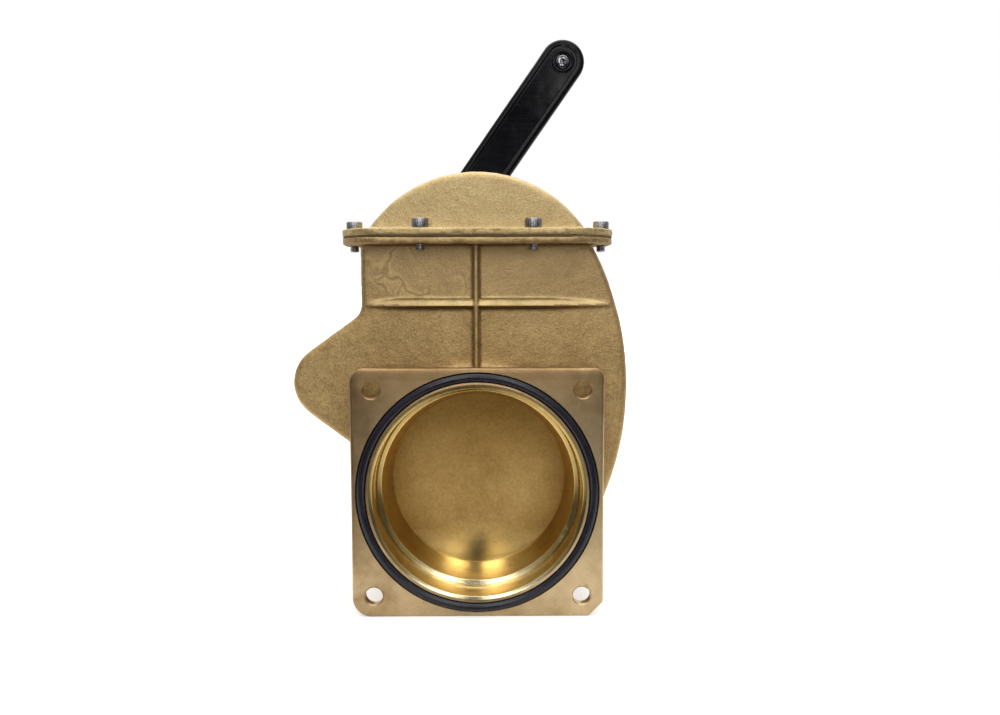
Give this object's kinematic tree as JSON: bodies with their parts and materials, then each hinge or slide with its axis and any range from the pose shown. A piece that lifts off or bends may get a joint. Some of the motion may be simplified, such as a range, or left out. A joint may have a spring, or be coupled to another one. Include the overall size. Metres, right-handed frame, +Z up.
{
  "type": "seacock valve",
  "caption": "Bronze swing-gate seacock with square port flanges, a domed bonnet and a side lever that swings the round gate out of the bore.",
  "frame": {"origin": "middle of the foot of the front flange, the flat bottom edge the valve stands on", "axes": "+X to the right seen from the front port, +Y through the bore from the front port to the rear port, +Z up towards the bonnet"},
  "size_m": [0.1771, 0.0863, 0.3109],
  "materials": {
    "cast_bronze": "sand-cast, satin",
    "cast_cover": "sand-cast, paler",
    "turned_bronze": "turned, bright",
    "gate_bronze": "cast, mottled",
    "stainless_steel": "satin",
    "lever_steel": "black, satin",
    "nitrile_rubber": "black, semi-matt",
    "gasket_sheet": "fibre sheet, matt",
    "black_sleeve": "moulded, glossy"
  },
  "bodies": {
    "valve_casing": {"valve_body": "cast_bronze", "bonnet_cover": "cast_cover", "bonnet_gasket": "gasket_sheet", "bonnet_screw_1": "stainless_steel", "bonnet_screw_2": "stainless_steel", "bonnet_screw_3": "stainless_steel", "bonnet_screw_4": "stainless_steel", "bonnet_screw_5": "stainless_steel", "bonnet_screw_6": "stainless_steel", "front_port_oring": "nitrile_rubber", "rear_port_oring": "nitrile_rubber", "front_seat_ring": "turned_bronze", "rear_seat_ring": "turned_bronze", "front_shaft_bush": "turned_bronze", "front_thrust_washer": "stainless_steel", "rear_thrust_washer": "stainless_steel", "gland_washer": "stainless_steel", "shaft_oring_1": "nitrile_rubber", "shaft_oring_2": "nitrile_rubber", "gland_bush": "turned_bronze"},
    "gate_and_lever": {"lever_shaft": "stainless_steel", "gate_key": "stainless_steel", "gate_arm": "gate_bronze", "gate_disc": "gate_bronze", "gate_pin_1": "stainless_steel", "gate_pin_2": "stainless_steel", "lever_bar": "lever_steel", "lever_grip": "black_sleeve", "grip_screw": "stainless_steel", "lever_spring_washer": "stainless_steel", "lever_nut": "stainless_steel"}
  },
  "joints": [
    {"name": "lever_swing", "type": "hinge", "parent": "valve_casing", "child": "gate_and_lever", "pos_m": [-0.077, 0.0395, 0.1195], "axis": [0, -1, 0], "range_deg": [0, 65]}
  ]
}
